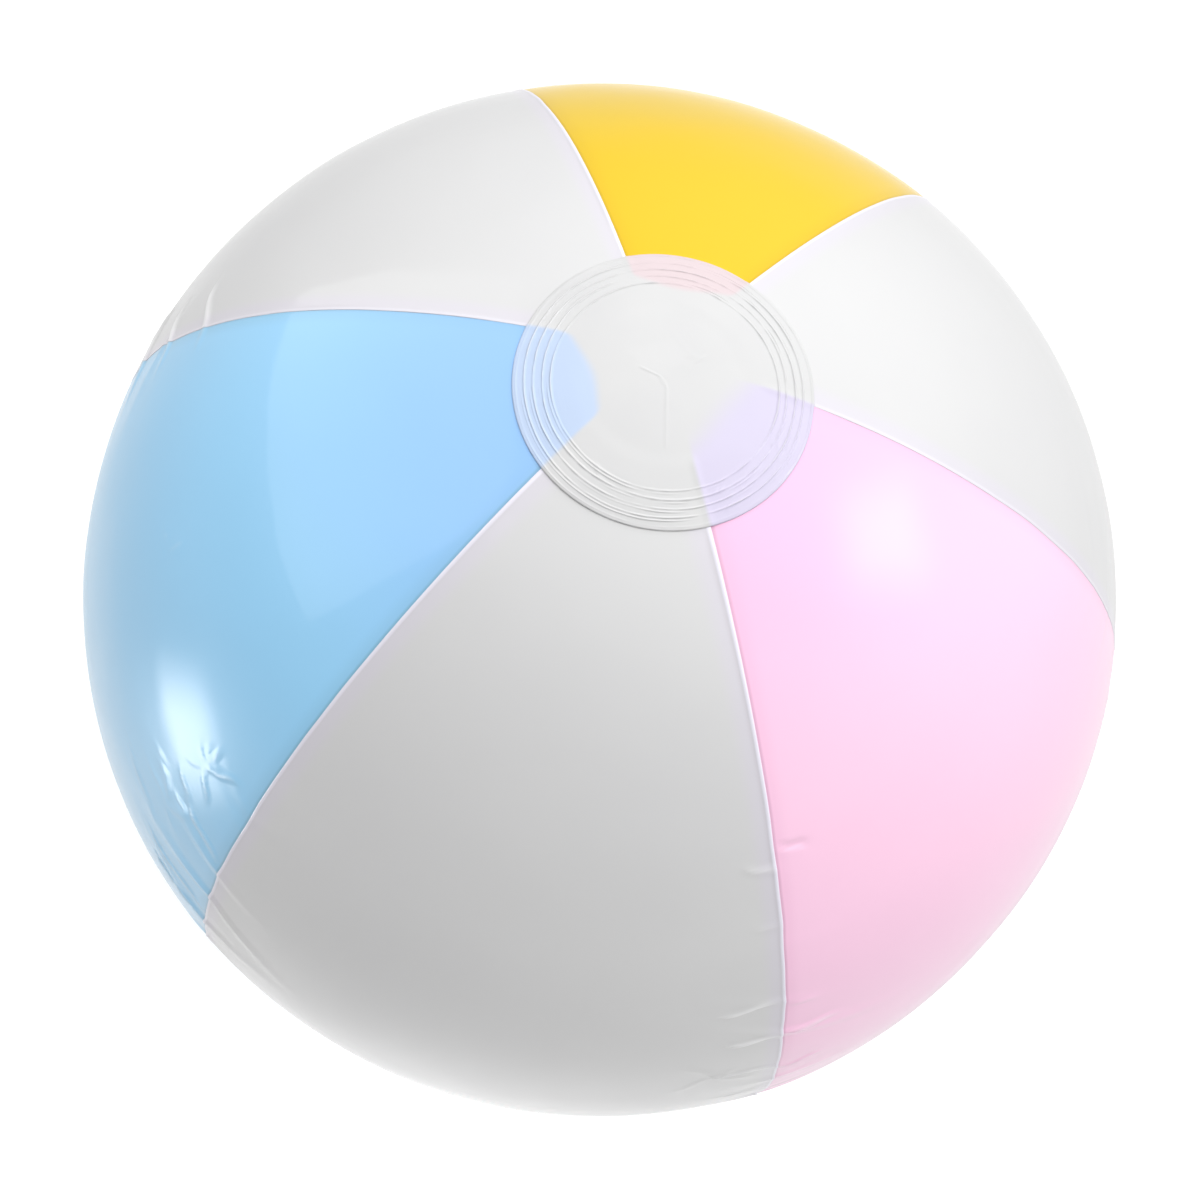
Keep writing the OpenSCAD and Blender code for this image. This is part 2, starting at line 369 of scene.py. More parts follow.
# Creases that stand out on the ball: start and end as azimuth and latitude in degrees, then the
# height and width in millimetres
CREASES = [
    (300.6, 54.4, 304.4, 53.6, -0.55, 0.8),
    (295.8, 53.2, 300.6, 52.0, 0.3, 0.9),
    (296.4, 47.6, 300.3, 47.0, 0.2, 0.8),
    (292.6, 38.4, 299.8, 38.3, 0.5, 0.8),
    (300.2, 37.8, 303.6, 37.2, 0.3, 0.7),
    (293.6, 33.8, 300.1, 32.9, 0.7, 0.85),
    (300.2, 33.6, 306.3, 33.0, 0.6, 0.8),
    (291.9, 28.7, 300.4, 25.8, 0.55, 0.9),
    (300.2, 25.6, 304.6, 25.8, 0.5, 0.8),
    (294.0, 20.0, 300.0, 19.2, 0.2, 0.9),
    (232.9, 42.4, 233.3, 45.6, 0.3, 0.5),
    (232.9, 42.4, 231.6, 44.8, 0.22, 0.4),
    (232.7, 42.2, 230.6, 43.6, 0.25, 0.45),
    (232.7, 42.2, 230.4, 41.0, 0.25, 0.45),
    (232.8, 42.4, 234.6, 44.0, 0.25, 0.45),
    (233.2, 42.8, 237.2, 44.6, 0.4, 0.7),
    (232.9, 42.2, 235.0, 39.6, 0.4, 0.6),
    (230.4, 39.6, 233.4, 37.6, 0.4, 0.7),
    (233.0, 37.8, 239.6, 34.6, 0.55, 0.7),
    (231.4, 36.6, 233.8, 36.0, 0.35, 0.6),
    (227.0, 38.4, 229.4, 35.8, 0.3, 0.7),
    (230.0, 26.8, 240.0, 24.6, 0.6, 0.8),
    (231.0, 23.4, 240.0, 22.4, 0.6, 0.8),
    (223.0, 33.4, 231.0, 28.6, 0.3, 0.8),
    (171.0, 46.6, 183.0, 49.5, 0.5, 1.0),
    (172.5, 41.6, 184.0, 42.8, 0.6, 1.0),
    (171.5, 36.0, 185.0, 35.2, 0.7, 1.1),
    (207.2, 47.5, 209.6, 52.2, 0.25, 0.6),
    (208.9, 47.5, 211.0, 51.2, 0.25, 0.6),
]


def ridge(x):
    """A narrow crest between two shallow troughs."""
    return np.exp(-x ** 2) - 0.15 * np.exp(-(x / 2.2) ** 2)


def crease_on_ball(points, start, end, height, width, crest_highlight):
    """A crease's height at points of the ball's surface, and the painted highlight on its crest. Both ends
    taper.
    """
    line = end - start
    length = np.linalg.norm(line)
    unit = line / length
    side = np.cross(start + end, unit)
    side /= np.linalg.norm(side)
    gap = points - start
    run = gap @ unit / length
    taper = smooth(-0.15, 0.3, run) * (1 - smooth(0.55, 1.15, run))
    bow = 0.05 * length * np.sin(2 * math.pi * np.clip(run, 0, 1))
    off = (gap @ side + bow) / (width * (0.6 + 0.6 * run.clip(0, 1)))
    crest = crest_highlight * taper * min(height / (0.6 * MM), 1) * np.exp(-(off / 1.1) ** 2)
    return height * taper * ridge(off), crest


def seam_puckers(seam):
    """The puckers that cross a seam, as arrays. They are strongest round the ball's middle."""
    rng = np.random.default_rng(40 + seam)
    place = np.linspace(-0.165, 0.165, PUCKER_COUNT) + rng.uniform(-5, 5, PUCKER_COUNT) * MM
    strength = rng.uniform(0.1, 1.0, PUCKER_COUNT) ** 1.8
    strength *= 1 - smooth(0.075, 0.150, np.abs(place))
    return {
        "place": place,
        "height": 0.6 * MM * strength,
        "width": rng.uniform(1.1, 2.2, PUCKER_COUNT) * MM,
        "reach": rng.uniform(8, 26, (PUCKER_COUNT, 2)) * MM,
        "slant": rng.uniform(-0.5, 0.5, (PUCKER_COUNT, 2)),
        "sway": rng.uniform(-0.6, 0.6, PUCKER_COUNT) * MM * (0.25 + 0.75 * strength),
    }


def star_creases(seam):
    """Small star-shaped creases in the film near a seam, as creases on the ball."""
    rng = np.random.default_rng(70 + seam)
    rays = []
    for _ in range(STAR_COUNT):
        lat = rng.uniform(-0.75, 0.75)
        az = SEAM_AZ[seam] + rng.choice([-1, 1]) * rng.uniform(0.06, 0.2)
        turn = rng.uniform(0, 2 * math.pi)
        for _ in range(rng.integers(3, 6)):
            turn += rng.uniform(0.7, 1.6)
            length = rng.uniform(0.03, 0.09)
            far_az = az + length * math.cos(turn) / math.cos(lat)
            far = on_sphere(far_az, lat + length * math.sin(turn), BALL_R)
            height = STAR_HEIGHT * rng.uniform(0.25, 0.6) * MM
            width = rng.uniform(0.9, 1.5) * MM
            rays.append((on_sphere(az, lat, BALL_R), far, height, width, STAR_CREST_HIGHLIGHT))
    return rays


PUCKERS = [seam_puckers(i) for i in range(6)]
ALL_CREASES = []
for *ends, height, width in CREASES:
    start, end = (on_sphere(*np.radians(place), BALL_R) for place in (ends[:2], ends[2:]))
    ALL_CREASES.append((start, end, height * MM, width * MM, 1.0))
for seam in range(6):
    ALL_CREASES += star_creases(seam)


def seam_relief(seam, along, across):
    """Height of the film beside a seam. along is the distance from the equator; across is signed."""
    total = np.zeros_like(along)
    p = PUCKERS[seam]
    side = (across < 0).astype(int)
    gap = np.abs(across)
    for i in range(PUCKER_COUNT):
        reach = p["reach"][i][side]
        width = p["width"][i] * (1 + 0.9 * gap / reach)
        shift = along - p["place"][i] - p["slant"][i][side] * gap
        total += p["height"][i] * ridge(shift / width) * np.exp(-(gap / reach) ** 2)
    return total


def seam_sway(seam, along):
    """How far the seam's line wanders sideways where puckers pull on it."""
    p = PUCKERS[seam]
    total = np.zeros_like(along)
    for i in range(PUCKER_COUNT):
        off = np.abs(along - p["place"][i])
        total += p["sway"][i] * np.clip(1 - off / (4.5 * p["width"][i]), 0, 1)
    return total


def film_relief(az, lat):
    """Height of the film's surface over the sphere, from waves, puckers and creases, and the creases' crests
    for a painted highlight.
    """
    points = on_sphere(az, lat, BALL_R)
    calm = 1 - smooth(math.radians(68), math.radians(78), np.abs(lat))
    total = calm * sum(height * noise(points, size, seed) for size, height, seed in WAVES)
    along = BALL_R * lat
    for i, seam_az in enumerate(SEAM_AZ):
        turn = (az - seam_az + math.pi) % (2 * math.pi) - math.pi
        across = BALL_R * np.cos(lat) * turn
        near = np.abs(across) < 60 * MM
        if near.any():
            total[near] += calm[near] * seam_relief(i, along[near], across[near])
    crest = np.zeros_like(total)
    for start, end, height, width, crest_highlight in ALL_CREASES:
        near = np.linalg.norm(points - (start + end) / 2, axis=-1) < 45 * MM
        if near.any():
            rise, line = crease_on_ball(points[near], start, end, height, width, crest_highlight)
            total[near] += rise
            crest[near] = np.maximum(crest[near], line)
    return total * smooth(17 * MM, 32 * MM, np.linalg.norm(points - VALVE_POINT, axis=-1)), crest


# ---------------------------------------------------------------- gores

# The rounded bead along a white gore's edge: distance in from the edge, and height over the film
BEAD = [(0, -0.28), (0, 0), (0.06, 0.12), (0.16, 0.20), (0.28, 0.235), (0.42, 0.225)]
BEAD += [(0.58, 0.185), (0.78, 0.12), (1.0, 0.06), (1.3, 0.015), (1.6, 0)]
BEAD_ACROSS, BEAD_HEIGHT = np.array(BEAD).T * MM
# A coloured gore's edge: its margin under the white film, then the visible dip beside the seam
MARGIN_ACROSS = np.array([-LAP_W, -0.6 * LAP_W, -0.2 * LAP_W, 0.0, 0.25 * MM, 0.55 * MM, 0.9 * MM])
MARGIN_DROP = 0.12 * MM
DIP_DEPTH = 0.16 * MM
DIP_W = 1.6 * MM
# It also scales the painted shadow line beside each seam and the painted highlight on each bead
SEAM_SHOW = (0.25, 0.6, 0.8, 0.3, 0.75, 1.0)  # how far each seam's bead and dip stand out, by azimuth


def meridian_rows():
    """Latitudes of a gore's rows, closer together where the film puckers."""
    puckered = math.radians(56)
    tip = math.acos(TIP_HOLE_R / BALL_R)
    middle = np.linspace(-puckered, puckered, 400)
    ends = np.linspace(puckered, tip, 46)[1:]
    return np.concatenate([-ends[::-1], middle, ends])


def half_columns():
    """Shares of the way from a gore's edge to its centre line, with most of them near the edge."""
    near = np.linspace(0, 0.34, 24)
    far = 0.34 + 0.66 * np.linspace(0, 1, 20)[1:]
    return np.concatenate([near, far])


def top_latitude(az):
    """Latitude at which a gore's tip stops under the top cap, which is welded off the pole."""
    reach = math.asin(TIP_HOLE_R / BALL_R)
    a = math.sin(CAP_OFF) * np.cos(az - CAP_OFF_AZ)
    b = math.cos(CAP_OFF)
    return np.arctan2(b, a) - np.arccos(math.cos(reach) / np.hypot(a, b))


def gore_points(centre_az, kind):
    """A gore's grid of points, each point's distance in from its nearest seam, and the mesh attributes."""
    lat = meridian_rows()
    edge = BEAD_ACROSS if kind == WHITE else MARGIN_ACROSS
    shares = half_columns()[1:]
    half_width = (BALL_R * GORE_HALF * np.cos(lat))[:, None]
    inside = edge[-1] + (half_width - edge[-1]) * shares[None, :]
    across = np.concatenate([np.broadcast_to(edge, (len(lat), len(edge))), inside], axis=1)
    across = np.concatenate([across, across[:, -2::-1]], axis=1)
    left = np.arange(across.shape[1]) > across.shape[1] // 2
    lat = np.broadcast_to(lat[:, None], across.shape).copy()
    turn = across / (BALL_R * np.cos(lat))
    first_az, last_az = centre_az - GORE_HALF, centre_az + GORE_HALF
    az = np.where(left[None, :], last_az - turn, first_az + turn)
    lat += smooth(1.1, 1.35, lat) * (top_latitude(az) - lat.max())
    pull = np.exp(-np.abs(across) / (9 * MM)) / (BALL_R * np.cos(lat))
    first_seam = int(round(math.degrees(first_az) / 60)) % 6
    sway_first = seam_sway(first_seam, BALL_R * lat)
    sway_last = seam_sway((first_seam + 1) % 6, BALL_R * lat)
    az = az + pull * np.where(left[None, :], sway_last, sway_first)
    show_first, show_last = SEAM_SHOW[first_seam], SEAM_SHOW[(first_seam + 1) % 6]
    show = np.where(left[None, :], show_last, show_first) * np.ones_like(across)
    relief, crest = film_relief(az, lat)
    points = on_sphere(az, lat, BALL_R + relief + edge_height(kind, across, lat, show))
    pole_deg = np.degrees(np.abs(lat))
    return points, across, {"seam_mm": across / MM, "seam_show": show, "crest": crest, "pole_deg": pole_deg}


def edge_height(kind, across, lat, show):
    """The bead along a white edge, or the dip along a coloured one. Both flatten under the end caps."""
    under_cap = smooth(math.pi / 2 - 1.3 * CAP_R / BALL_R, math.pi / 2 - 1.05 * CAP_R / BALL_R, np.abs(lat))
    if kind == COLOURED:
        dip = -DIP_DEPTH * show * np.exp(-np.maximum(across, 0) / DIP_W) - MARGIN_DROP * (across < 0)
        return dip * (1 - 0.3 * under_cap)
    count = len(BEAD)
    height = np.zeros_like(across)
    height[:, :count] = BEAD_HEIGHT
    height[:, -count:] = BEAD_HEIGHT[::-1]
    bead = np.maximum(height, 0)
    return height - bead + bead * show * (1 - 0.75 * under_cap)


def make_gore(node, centre_deg, kind, slot):
    """One gore of film, in place of its CAD node."""
    points, across, attributes = gore_points(math.radians(centre_deg), kind)
    rows, columns = across.shape
    faces = grid_faces(rows, columns)
    if node == "gore_white_left":
        middle = points.reshape(-1, 3)[faces].mean(axis=1)
        faces = faces[np.linalg.norm(middle - VALVE_POINT, axis=1) > VALVE_CUT_R]
    piece = make_piece(node + "_film", points, faces, MATERIALS[slot], attributes)
    thicken(piece, FILM_T)
    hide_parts(node)
    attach(piece, "envelope")


# ---------------------------------------------------------------- end caps

# How far in under a cap each coloured tip shows, in mm: the radius where its tint ends, the fade's
# width, and how far that end slants from one side of the tip to the other
TIP_SHOW = {"tip_yellow": (21.6, 1.8, 0), "tip_blue": (15.2, 2.6, -3.2), "tip_pink": (14.0, 7.0, 1.0)}


def tip_masks(points, off_pole):
    """For points of the ball's surface near a pole, how much of each coloured tip shows through."""
    az = np.arctan2(points[..., 1], points[..., 0])
    axis_r = np.hypot(points[..., 0], points[..., 1])
    masks = {}
    for node, centre_deg, kind, slot in GORES:
        if kind == COLOURED:
            aside = (az - math.radians(centre_deg) + math.pi) % (2 * math.pi) - math.pi
            turn = np.abs(aside)
            inward = (GORE_HALF - turn) * axis_r
            name = "tip_" + slot.split("_")[0]
            end, fade, slant = TIP_SHOW[name]
            rounding = 3.5 * MM * (turn / GORE_HALF) ** 2 + slant * MM * aside / GORE_HALF
            reach = smooth((end - fade) * MM, end * MM + 0.5 * fade * MM, off_pole - rounding)
            masks[name] = smooth(-0.8 * MM, 0.7 * MM, inward) * reach
    return masks


RIB_SHARE = (0.8, 1.0, 1.0, 0.9, 0.35)  # how firm each weld rib is, from the innermost out


def cap_relief(radius, angle, seed):
    """How much each point of a cap's film lies on a weld rib. The ribs are firmer in some places."""
    ribs = np.zeros_like(radius)
    circle = np.stack([np.cos(angle), np.sin(angle), np.zeros_like(angle)], axis=-1)
    for i, share in enumerate(RIB_SHARE):
        wander = 0.20 * MM * noise(circle, 0.7, seed + i) + 0.04 * MM * noise(circle, 0.12, seed + 50 + i)
        firm = 0.66 + 0.6 * noise(circle, 0.45, seed + 9 + i) + 0.45 * noise(circle, 0.07, seed + 20 + i)
        firm += 0.35 * np.cos(2 * (angle - math.radians(5)))
        spread = (0.19 + 0.05 * noise(circle, 0.4, seed + 30 + i)) * MM
        centre = radius - WELD_R - i * RIB_PITCH - wander
        ribs += share * np.clip(firm, 0.05, 1.4) * np.exp(-(centre / spread) ** 2)
        second = np.clip(0.9 * noise(circle, 0.35, seed + 40 + i), 0, 0.6)
        ribs += share * second * np.exp(-((centre - 0.6 * MM) / (0.8 * spread)) ** 2)
    return ribs


def make_cap(node, turn, seed):
    """An end cap: a disc of milky film with weld ribs, turned from the +Z pole to its place."""
    radius = np.concatenate([
        np.linspace(0, 0.92 * WELD_R, 50)[1:],
        np.linspace(0.92 * WELD_R, CAP_R - 0.25 * MM, 110)[1:],
        CAP_R - 0.25 * MM * (1 - np.sin(np.linspace(0, math.pi / 2, 5)[1:])),
    ])
    sectors = 360
    angle = np.linspace(0, 2 * math.pi, sectors, endpoint=False)
    radius, angle = np.meshgrid(radius, angle, indexing="ij")
    rib = cap_relief(radius, angle, seed)
    flat = on_sphere(angle, math.pi / 2 - radius / BALL_R, BALL_R)
    placed = flat @ np.array(turn.to_3x3()).T
    off_pole = np.hypot(flat[..., 0], flat[..., 1])
    tips = tip_masks(placed, off_pole)
    over_film = smooth(TIP_HOLE_R - 2.0 * MM, TIP_HOLE_R + 1.5 * MM, off_pole)
    rim = np.clip((CAP_R - radius) / (0.25 * MM), 0, 1)
    height = FILM_T * (0.15 + 0.85 * np.sqrt(rim))
    height += 0.27 * MM * rib * rim + 0.10 * MM * over_film
    height += seam_steps(placed, over_film) + 0.08 * MM * noise(flat, 0.011, seed)
    height += centre_wrinkles(flat, seed)
    points = placed * (1 + height / BALL_R)[..., None]
    top = turn.to_3x3() @ Vector((0, 0, BALL_R + FILM_T))
    points = np.concatenate([points.reshape(-1, 3), np.array([top])])
    ring = np.arange(sectors)
    hub = np.stack([ring, (ring + 1) % sectors, np.full(sectors, len(points) - 1)], axis=-1)
    faces = grid_faces(len(radius), sectors, wrap=True)[:, ::-1].tolist() + hub.tolist()
    attributes = {key: np.append(mask, 0) for key, mask in tips.items()}
    attributes["rib"] = np.append(rib, 0)
    piece = make_piece(node + "_film", points, faces, MATERIALS["clear_cap_film"], attributes)
    thicken(piece, FILM_T)
    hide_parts(node)
    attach(piece, "envelope")


def seam_steps(points, over_film):
    """The faint step over each seam that runs on under the cap."""
    az = np.arctan2(points[..., 1], points[..., 0])
    axis_r = np.hypot(points[..., 0], points[..., 1])
    total = np.zeros_like(az)
    for seam_az in SEAM_AZ:
        turn = (az - seam_az + math.pi) % (2 * math.pi) - math.pi
        across = turn * axis_r
        total += 0.13 * MM * np.exp(-(across / (0.7 * MM)) ** 2)
    return total * over_film * smooth(19 * MM, 23 * MM, axis_r)


def fold(along, across, start, end, height, width):
    """A fine fold in a cap's film, from start to end."""
    line = end - start
    length = np.hypot(*line)
    unit = line / length
    run = (along - start[0]) * unit[0] + (across - start[1]) * unit[1]
    off = (along - start[0]) * -unit[1] + (across - start[1]) * unit[0]
    ends = smooth(-0.5 * MM, 0.5 * MM, run) * smooth(-0.5 * MM, 0.5 * MM, length - run)
    return height * ends * ridge(off / width)


# The fold from a cap's middle out to a seam, and small marks beside its ribs, in millimetres
CAP_FOLDS = [
    ((-5.5, 1.2), (-1.5, 0.4), 0.07, 0.26), ((-1.5, 0.4), (0.3, -1.4), 0.09, 0.26),
    ((0.3, -1.4), (3.2, -13.5), 0.06, 0.34), ((4.5, 5.5), (6.0, 7.4), 0.06, 0.3),
    ((-8.5, -20.0), (-7.6, -22.4), 0.10, 0.35), ((-7.6, -22.4), (-6.4, -22.9), 0.08, 0.35),
    ((15.2, -19.0), (15.6, -17.6), 0.12, 0.25), ((14.2, -19.6), (14.6, -18.2), 0.12, 0.25),
    ((24.2, -7.0), (24.0, -5.6), 0.12, 0.25), ((23.0, -6.9), (22.8, -5.7), 0.12, 0.25),
    ((17.6, -21.6), (17.9, -20.6), 0.12, 0.25),
]


def centre_wrinkles(points, seed):
    """The fine folds and marks in a cap's film, and a few random ones."""
    rng = np.random.default_rng(seed)
    folds = [(np.array(a) * MM, np.array(b) * MM, h * MM, w * MM) for a, b, h, w in CAP_FOLDS]
    for _ in range(5):
        start = rng.uniform(-11, 11, 2) * MM
        turn = rng.uniform(0, 2 * math.pi)
        end = start + rng.uniform(3, 8) * MM * np.array([math.cos(turn), math.sin(turn)])
        folds.append((start, end, 0.02 * MM, 0.5 * MM))
    return sum(fold(points[..., 0], points[..., 1], *f) for f in folds)


# ---------------------------------------------------------------- valve

VALVE_AXIS = Vector(next(j for j in frame["joints"] if j["name"] == "stem_slide")["axis"]).normalized()
VALVE_POINT = np.array(VALVE_AXIS * BALL_R)
VALVE_CUT_R = 12.6 * MM
VALVE_SIDE = Vector((0, 0, 1)).cross(VALVE_AXIS).normalized()  # the hinge lines run along it
VALVE_DOWN = VALVE_SIDE.cross(VALVE_AXIS).normalized()
VALVE_TURN = np.array([VALVE_DOWN, VALVE_SIDE, VALVE_AXIS]).T


def at_valve(points):
    """Points given in the valve's own frame, in millimetres with +Z out of the ball, in the row frame."""
    return points * MM @ VALVE_TURN.T + VALVE_POINT


def valve_piece(name, points, faces, body, node, slot="valve_vinyl", attributes=None):
    """A piece of the valve from points in its own frame, riding on a body in place of a CAD node."""
    piece = make_piece(name, at_valve(points), faces, MATERIALS[slot], attributes)
    if body:
        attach(piece, body)
    if node:
        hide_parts(node)
    return piece


def lathe(profile, hollow=True, segments=128, follow_ball=False):
    """A profile of (radius, height) points in mm, turned about the valve's axis: points and faces."""
    profile = np.array(profile, dtype=float)
    r, z = profile.T
    if np.sum(r * np.roll(z, -1) - np.roll(r, -1) * z) < 0:
        profile = profile[::-1]  # so that the faces look outwards
    angle = np.linspace(0, 2 * math.pi, segments, endpoint=False)
    r, a = np.meshgrid(profile[:, 0], angle, indexing="ij")
    z = np.broadcast_to(profile[:, 1][:, None], r.shape)
    if follow_ball:
        ball = BALL_R / MM
        z = z + np.sqrt(ball ** 2 - r ** 2) - ball
    points = np.stack([r * np.cos(a), r * np.sin(a), z], axis=-1).reshape(-1, 3)
    faces = grid_faces(len(profile), segments, wrap=True).tolist()
    first = np.arange(segments)
    last = first + (len(profile) - 1) * segments
    if hollow:
        faces += np.stack([last, np.roll(last, -1), np.roll(first, -1), first], axis=-1).tolist()
    else:
        faces += [first[::-1].tolist(), last.tolist()]
    return points, faces


def bar(path, ring=24):
    """A flat moulded bar along a path of (x, height, half thickness, half width) in mm: points and faces."""
    path = np.array(path, dtype=float)
    along = np.gradient(path[:, :2], axis=0)
    along /= np.linalg.norm(along, axis=1)[:, None]
    t = np.linspace(0, 2 * math.pi, ring, endpoint=False)
    across = np.sign(np.cos(t)) * np.sqrt(np.abs(np.cos(t)))
    up = np.sign(np.sin(t)) * np.sqrt(np.abs(np.sin(t)))
    x = path[:, 0, None] - along[:, 1, None] * path[:, 2, None] * up
    z = path[:, 1, None] + along[:, 0, None] * path[:, 2, None] * up
    y = path[:, 3, None] * across
    points = np.stack([x, y, z], axis=-1).reshape(-1, 3)
    faces = grid_faces(len(path), ring, wrap=True).tolist()
    last = np.arange(ring) + (len(path) - 1) * ring
    return points, faces + [list(range(ring))[::-1], last.tolist()]


def blunt(path, steps=4):
    """The same path with its two ends rounded off."""
    path = [np.array(p, dtype=float) for p in path]
    out = []
    for end, inner in ((path[0], path[1]), (path[-1], path[-2])):
        inwards = (inner[:2] - end[:2]) / np.hypot(*(inner[:2] - end[:2]))
        cap = []
        for k in range(steps + 1):
            t = math.pi / 2 * k / steps
            p = end.copy()
            p[:2] = end[:2] + inwards * end[2] * (1 - math.sin(t))
            p[2:] = end[2:] - end[2] * (1 - max(math.cos(math.pi / 2 - t), 0.15))
            cap.append(p)
        out.append(cap)
    return out[0] + path[1:-1] + out[1][::-1]


def rounded(profile, radius, steps=4):
    """The same closed profile with its corners rounded by up to radius."""
    points = [np.array(p, dtype=float) for p in profile]
    out = []
    for i, p in enumerate(points):
        before, after = points[i - 1] - p, points[(i + 1) % len(points)] - p
        r = min(radius, 0.45 * np.hypot(*before), 0.45 * np.hypot(*after))
        a = p + before / np.hypot(*before) * r
        b = p + after / np.hypot(*after) * r
        for k in range(steps + 1):
            t = k / steps
            out.append((1 - t) ** 2 * a + 2 * t * (1 - t) * p + t ** 2 * b)
    return out


# ---------------------------------------------------------------- build

for node, centre_deg, kind, slot in GORES:
    make_gore(node, centre_deg, kind, slot)

top_turn = (
    Matrix.Rotation(CAP_OFF_AZ, 4, "Z")
    @ Matrix.Rotation(CAP_OFF, 4, "Y")
    @ Matrix.Rotation(-CAP_OFF_AZ, 4, "Z")
)
make_cap("end_cap_top", top_turn, 5)
make_cap("end_cap_bottom", Matrix.Rotation(math.pi, 4, "X"), 25)

FAR_FROM_SEAM = 60.0  # mm from the nearest seam: no look of a seam reaches the valve's film

# The gore's film around its hole, embossed where it is welded to the flange under it. Profiles are
# (radius, height) and bars (x, height, half thickness, half width), in mm in the valve's own frame.
weld = [(10.9, -0.25), (10.9, -0.06), (11.05, 0.08), (11.4, 0.13)]
weld += [(r, 0.13 + 0.08 * math.sin(math.pi * (r - 11.7)) ** 2) for r in np.linspace(11.7, 14.7, 37)]
weld += [(15.0, 0.13), (15.6, 0.10), (16.1, 0.05), (16.5, -0.02), (16.6, -0.25)]
points, faces = lathe(weld, follow_ball=True, segments=160)
away = {"seam_mm": np.full(len(points), FAR_FROM_SEAM)}
valve_piece("valve_weld_film", points, faces, "envelope", None, "white_film", away)

# The flange, a flat ring under the film
flange = [(10.0, -1.05), (15.0, -1.05), (15.0, -0.26), (11.5, -0.26), (10.9, -0.36), (10.0, -0.36)]
ring = lathe(rounded(flange, 0.2), follow_ball=True)
valve_piece("valve_flange_ring", *ring, "envelope", "valve_flange")

# The membrane, folded inwards between the flange and the stem.
turned = [math.radians(a) for a in np.linspace(0, 90, 25)]
membrane = [(10.0, z) for z in np.linspace(-0.75, -4.0, 22)]
membrane += [(5.15 + 4.85 * math.cos(a), -4.2 - 4.85 * math.sin(a)) for a in turned]
membrane += [(5.15 + 4.35 * math.cos(a), -4.2 - 4.35 * math.sin(a)) for a in turned[::-1]]
membrane += [(9.5, z) for z in np.linspace(-4.0, -0.8, 22)] + [(9.6, -0.68), (9.75, -0.64), (9.9, -0.66)]
piece = valve_piece("valve_membrane_film", *lathe(membrane), None, "valve_membrane")
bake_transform(piece)

# The stem, with the root that carries the stopper's strap and the lug that carries the check flap
wall = [(5.0, -15.6), (5.0, -12.9), (4.82, -12.6), (4.82, -12.1), (5.0, -11.8), (5.0, -3.0)]
wall += [(4.9, -2.5), (4.9, -2.2), (5.0, -1.95), (5.0, -1.6), (3.0, -1.6), (3.0, -5.2)]
wall += [(2.7, -5.5), (2.7, -15.6)]
valve_piece("valve_stem_tube", *lathe(rounded(wall, 0.22)), "stem", "valve_stem")
foot = [(-4.2, -2.6, 0.5, 2.0), (-5.0, -2.6, 0.5, 2.0), (-6.5, -2.6, 0.5, 2.0), (-8.22, -2.6, 0.5, 2.0)]
valve_piece("strap_root_foot", *bar(blunt(foot)), "stem", None)
upright = [(-7.95, z, 0.3, 2.0) for z in (-3.0, -2.6, -2.1)] + [(-7.95, -1.52, 0.3, 1.9)]
valve_piece("strap_root_upright", *bar(blunt(upright)), "stem", None)
lug = [(5.1, -15.6, 0.7, 1.5), (5.1, -15.0, 0.7, 1.5), (5.05, -13.6, 0.62, 1.5), (5.0, -12.6, 0.4, 1.4)]
valve_piece("flap_lug", *bar(blunt(lug)), "stem", None)

# The stopper with its plug and its strap, and the thin web at the strap's hinge
head = [(0.3, -0.38), (2.6, -0.38), (2.9, -0.46), (3.3, -0.46), (3.6, -0.38), (5.25, -0.4)]
head += [(5.6, -0.75), (5.6, -1.15), (5.3, -1.5), (2.95, -1.5), (2.84, -1.7), (2.78, -2.2)]
head += [(2.86, -2.5), (2.7, -2.9), (2.35, -4.3), (2.1, -4.6), (0.3, -4.6)]
valve_piece("stopper_cap", *lathe(rounded(head, 0.15)[4:-4], hollow=False), "stopper", "stopper")
strap = [(-7.72, -1.0, 0.2, 1.7), (-7.3, -1.0, 0.28, 1.95), (-6.4, -1.0, 0.3, 2.0), (-5.4, -1.0, 0.3, 2.0)]
strap = blunt(strap + [(-4.6, -1.0, 0.26, 2.0)])
valve_piece("stopper_strap_bar", *bar(strap), "stopper", "stopper_strap")
web = [(-7.98, -1.7, 0.13, 1.6), (-8.04, -1.4, 0.13, 1.6), (-8.06, -1.2, 0.12, 1.6), (-8.0, -1.04, 0.12, 1.6)]
web += [(-7.88, -0.98, 0.12, 1.6), (-7.7, -1.0, 0.13, 1.6), (-7.5, -1.0, 0.13, 1.6)]
piece = valve_piece("strap_hinge_web", *bar(web), None, None)
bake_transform(piece)

# The check flap, with the tab by which it hangs on the lug
disc = [(0.3, -15.9), (4.2, -15.9), (4.2, -16.5), (3.2, -16.5), (3.0, -16.4), (0.3, -16.4)]
disc = rounded(disc, 0.18)[4:-4]
valve_piece("check_flap_disc", *lathe(disc, hollow=False), "check_flap", "check_flap")
tab = [(2.8, -16.2, 0.27, 1.5), (3.6, -16.2, 0.3, 1.5), (4.6, -16.2, 0.3, 1.5), (5.28, -16.2, 0.25, 1.45)]
valve_piece("check_flap_tab", *bar(blunt(tab)), "check_flap", None)


# ---------------------------------------------------------------- studio

